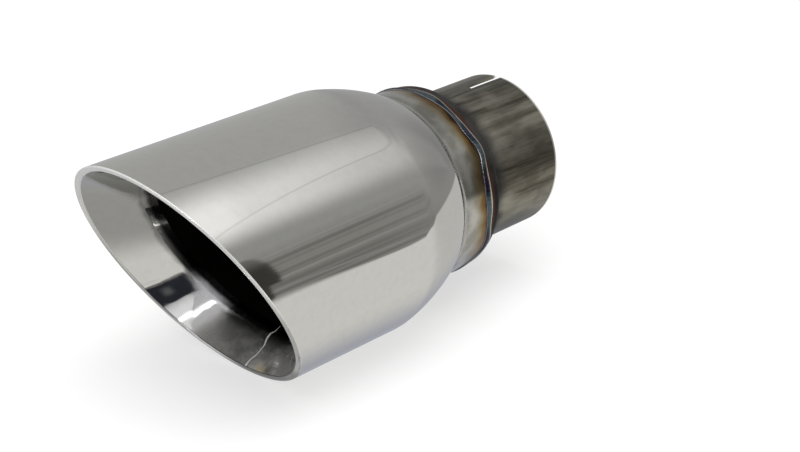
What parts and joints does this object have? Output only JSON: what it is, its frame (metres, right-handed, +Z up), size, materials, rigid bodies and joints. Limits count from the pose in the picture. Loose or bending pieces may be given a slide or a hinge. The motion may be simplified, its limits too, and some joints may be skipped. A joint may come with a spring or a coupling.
{
  "type": "exhaust tip",
  "caption": "Polished stainless steel exhaust tip with a slant-cut double-wall mouth, rounded shoulder and slotted slip-fit inlet sleeve.",
  "frame": {"origin": "centre of the inlet sleeve's open end, on the sleeve's axis", "axes": "+X along the sleeve's axis, the way the tailpipe leaves; the mouth faces -X; +Z up, with the long side of the slant cut on top, as fitted on the car"},
  "size_m": [0.2071, 0.1016, 0.1016],
  "materials": {
    "polished_steel": "mirror polished stainless sheet",
    "dressed_weld": "ground and polished weld metal",
    "mill_steel": "unpolished mill finish tube with drawing lines",
    "raw_weld": "rippled weld bead with heat tint"
  },
  "bodies": {
    "root": {"outer_shell": "polished_steel", "mouth_liner": "polished_steel", "mouth_weld": "dressed_weld", "inlet_sleeve": "mill_steel", "neck_weld": "raw_weld"}
  },
  "joints": []
}
